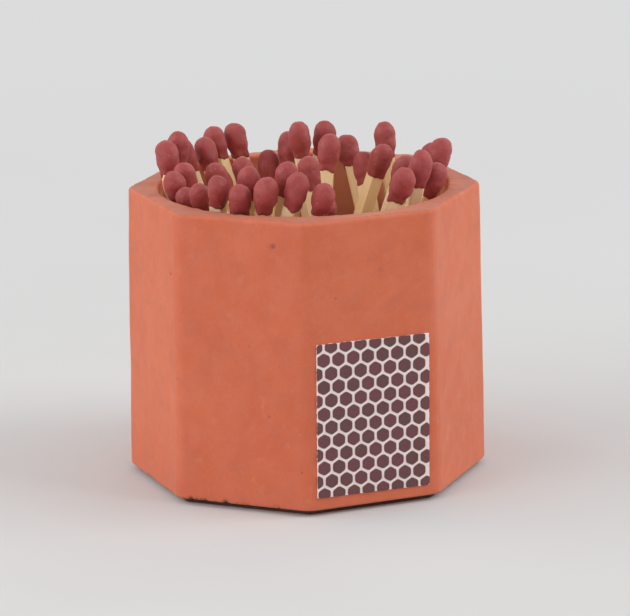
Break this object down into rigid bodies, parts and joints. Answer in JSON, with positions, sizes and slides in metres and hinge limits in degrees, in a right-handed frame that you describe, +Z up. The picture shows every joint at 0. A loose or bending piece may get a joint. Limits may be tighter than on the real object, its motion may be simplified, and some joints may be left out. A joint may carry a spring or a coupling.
{
  "type": "match holder",
  "caption": "Eight-sided cast pot with a round bore full of safety matches and a honeycomb striker label.",
  "frame": {"origin": "middle of the pot's foot on the table", "axes": "+Z up through the bore; the face with the striker label looks along -Y, +X is to that face's right"},
  "size_m": [0.05, 0.0502, 0.0509],
  "materials": {
    "pot": "matte cast concrete, pigmented terracotta",
    "pad_rubber": "thin dark non-slip rubber",
    "label_paper": "uncoated off-white",
    "striking_compound": "gritty, dark maroon brown",
    "aspen": "raw pale aspen",
    "match_compound": "matte, finely grained, dull red"
  },
  "bodies": {
    "pot": {"pot_body": "pot", "base_pad": "pad_rubber", "striker_label": "label_paper", "striker_cells": "striking_compound"},
    "match_01_body": {"match_01_stick": "aspen", "match_01_head": "match_compound"},
    "match_02_body": {"match_02_stick": "aspen", "match_02_head": "match_compound"},
    "match_03_body": {"match_03_stick": "aspen", "match_03_head": "match_compound"},
    "match_04_body": {"match_04_stick": "aspen", "match_04_head": "match_compound"},
    "match_05_body": {"match_05_stick": "aspen", "match_05_head": "match_compound"},
    "match_06_body": {"match_06_stick": "aspen", "match_06_head": "match_compound"},
    "match_07_body": {"match_07_stick": "aspen", "match_07_head": "match_compound"},
    "match_08_body": {"match_08_stick": "aspen", "match_08_head": "match_compound"},
    "match_09_body": {"match_09_stick": "aspen", "match_09_head": "match_compound"},
    "match_10_body": {"match_10_stick": "aspen", "match_10_head": "match_compound"},
    "match_11_body": {"match_11_stick": "aspen", "match_11_head": "match_compound"},
    "match_12_body": {"match_12_stick": "aspen", "match_12_head": "match_compound"},
    "match_13_body": {"match_13_stick": "aspen", "match_13_head": "match_compound"},
    "match_14_body": {"match_14_stick": "aspen", "match_14_head": "match_compound"},
    "match_15_body": {"match_15_stick": "aspen", "match_15_head": "match_compound"},
    "match_16_body": {"match_16_stick": "aspen", "match_16_head": "match_compound"},
    "match_17_body": {"match_17_stick": "aspen", "match_17_head": "match_compound"},
    "match_18_body": {"match_18_stick": "aspen", "match_18_head": "match_compound"},
    "match_19_body": {"match_19_stick": "aspen", "match_19_head": "match_compound"},
    "match_20_body": {"match_20_stick": "aspen", "match_20_head": "match_compound"},
    "match_21_body": {"match_21": "aspen"},
    "match_22_body": {"match_22": "aspen"},
    "match_23_body": {"match_23": "aspen"},
    "match_24_body": {"match_24": "aspen"},
    "match_25_body": {"match_25": "aspen"},
    "match_26_body": {"match_26": "aspen"},
    "match_27_body": {"match_27": "aspen"},
    "match_28_body": {"match_28": "aspen"},
    "match_29_body": {"match_29": "aspen"},
    "match_30_body": {"match_30": "aspen"},
    "match_31_body": {"match_31": "aspen"},
    "match_32_body": {"match_32": "aspen"},
    "match_33_body": {"match_33": "aspen"},
    "match_34_body": {"match_34": "aspen"},
    "match_35_body": {"match_35": "aspen"},
    "match_36_body": {"match_36": "aspen"}
  },
  "joints": [
    {"name": "match_01_pull", "type": "slide", "parent": "pot", "child": "match_01_body", "axis": [-0.3653, -0.2196, 0.9046], "range_m": [0, 0.046]},
    {"name": "match_02_pull", "type": "slide", "parent": "pot", "child": "match_02_body", "axis": [-0.331, -0.2251, 0.9164], "range_m": [0, 0.046]},
    {"name": "match_03_pull", "type": "slide", "parent": "pot", "child": "match_03_body", "axis": [-0.4262, -0.2722, 0.8627], "range_m": [0, 0.046]},
    {"name": "match_04_pull", "type": "slide", "parent": "pot", "child": "match_04_body", "axis": [-0.4296, 0.1164, 0.8955], "range_m": [0, 0.046]},
    {"name": "match_05_pull", "type": "slide", "parent": "pot", "child": "match_05_body", "axis": [-0.2519, -0.3604, 0.8981], "range_m": [0, 0.046]},
    {"name": "match_06_pull", "type": "slide", "parent": "pot", "child": "match_06_body", "axis": [-0.105, -0.3209, 0.9413], "range_m": [0, 0.046]},
    {"name": "match_07_pull", "type": "slide", "parent": "pot", "child": "match_07_body", "axis": [-0.1484, -0.3608, 0.9208], "range_m": [0, 0.046]},
    {"name": "match_08_pull", "type": "slide", "parent": "pot", "child": "match_08_body", "axis": [-0.2114, -0.1504, 0.9658], "range_m": [0, 0.046]},
    {"name": "match_09_pull", "type": "slide", "parent": "pot", "child": "match_09_body", "axis": [0.044, -0.308, 0.9504], "range_m": [0, 0.046]},
    {"name": "match_10_pull", "type": "slide", "parent": "pot", "child": "match_10_body", "axis": [0.1096, -0.1282, 0.9857], "range_m": [0, 0.046]},
    {"name": "match_11_pull", "type": "slide", "parent": "pot", "child": "match_11_body", "axis": [-0.1003, 0.2577, 0.961], "range_m": [0, 0.046]},
    {"name": "match_12_pull", "type": "slide", "parent": "pot", "child": "match_12_body", "axis": [0.1925, -0.189, 0.9629], "range_m": [0, 0.046]},
    {"name": "match_13_pull", "type": "slide", "parent": "pot", "child": "match_13_body", "axis": [0.1204, -0.3565, 0.9265], "range_m": [0, 0.046]},
    {"name": "match_14_pull", "type": "slide", "parent": "pot", "child": "match_14_body", "axis": [0.1735, -0.4956, 0.851], "range_m": [0, 0.046]},
    {"name": "match_15_pull", "type": "slide", "parent": "pot", "child": "match_15_body", "axis": [0.1243, 0.12, 0.985], "range_m": [0, 0.046]},
    {"name": "match_16_pull", "type": "slide", "parent": "pot", "child": "match_16_body", "axis": [0.2358, -0.2205, 0.9465], "range_m": [0, 0.046]},
    {"name": "match_17_pull", "type": "slide", "parent": "pot", "child": "match_17_body", "axis": [0.2581, -0.2285, 0.9387], "range_m": [0, 0.046]},
    {"name": "match_18_pull", "type": "slide", "parent": "pot", "child": "match_18_body", "axis": [0.1616, -0.0814, 0.9835], "range_m": [0, 0.046]},
    {"name": "match_19_pull", "type": "slide", "parent": "pot", "child": "match_19_body", "axis": [0.2878, -0.21, 0.9344], "range_m": [0, 0.046]},
    {"name": "match_20_pull", "type": "slide", "parent": "pot", "child": "match_20_body", "axis": [0.3046, -0.2465, 0.92], "range_m": [0, 0.046]},
    {"name": "match_21_pull", "type": "slide", "parent": "pot", "child": "match_21_body", "axis": [-0.0787, 0.069, 0.9945], "range_m": [0, 0.046]},
    {"name": "match_22_pull", "type": "slide", "parent": "pot", "child": "match_22_body", "axis": [0.111, -0.1526, 0.982], "range_m": [0, 0.046]},
    {"name": "match_23_pull", "type": "slide", "parent": "pot", "child": "match_23_body", "axis": [0.2276, -0.0539, 0.9723], "range_m": [0, 0.046]},
    {"name": "match_24_pull", "type": "slide", "parent": "pot", "child": "match_24_body", "axis": [0.1952, 0.4788, 0.856], "range_m": [0, 0.046]},
    {"name": "match_25_pull", "type": "slide", "parent": "pot", "child": "match_25_body", "axis": [-0.0453, 0.43, 0.9017], "range_m": [0, 0.046]},
    {"name": "match_26_pull", "type": "slide", "parent": "pot", "child": "match_26_body", "axis": [0.089, 0.4853, 0.8698], "range_m": [0, 0.046]},
    {"name": "match_27_pull", "type": "slide", "parent": "pot", "child": "match_27_body", "axis": [0.3203, -0.1576, 0.9341], "range_m": [0, 0.046]},
    {"name": "match_28_pull", "type": "slide", "parent": "pot", "child": "match_28_body", "axis": [-0.0192, 0.187, 0.9822], "range_m": [0, 0.046]},
    {"name": "match_29_pull", "type": "slide", "parent": "pot", "child": "match_29_body", "axis": [-0.0005, 0.0679, 0.9977], "range_m": [0, 0.046]},
    {"name": "match_30_pull", "type": "slide", "parent": "pot", "child": "match_30_body", "axis": [-0.3153, 0.0384, 0.9482], "range_m": [0, 0.046]},
    {"name": "match_31_pull", "type": "slide", "parent": "pot", "child": "match_31_body", "axis": [-0.2274, 0.2678, 0.9363], "range_m": [0, 0.046]},
    {"name": "match_32_pull", "type": "slide", "parent": "pot", "child": "match_32_body", "axis": [-0.2169, 0.3707, 0.9031], "range_m": [0, 0.046]},
    {"name": "match_33_pull", "type": "slide", "parent": "pot", "child": "match_33_body", "axis": [-0.213, 0.1859, 0.9592], "range_m": [0, 0.046]},
    {"name": "match_34_pull", "type": "slide", "parent": "pot", "child": "match_34_body", "axis": [-0.1991, 0.2044, 0.9584], "range_m": [0, 0.046]},
    {"name": "match_35_pull", "type": "slide", "parent": "pot", "child": "match_35_body", "axis": [0.1547, 0.335, 0.9294], "range_m": [0, 0.046]},
    {"name": "match_36_pull", "type": "slide", "parent": "pot", "child": "match_36_body", "axis": [-0.0683, 0.147, 0.9868], "range_m": [0, 0.046]}
  ]
}
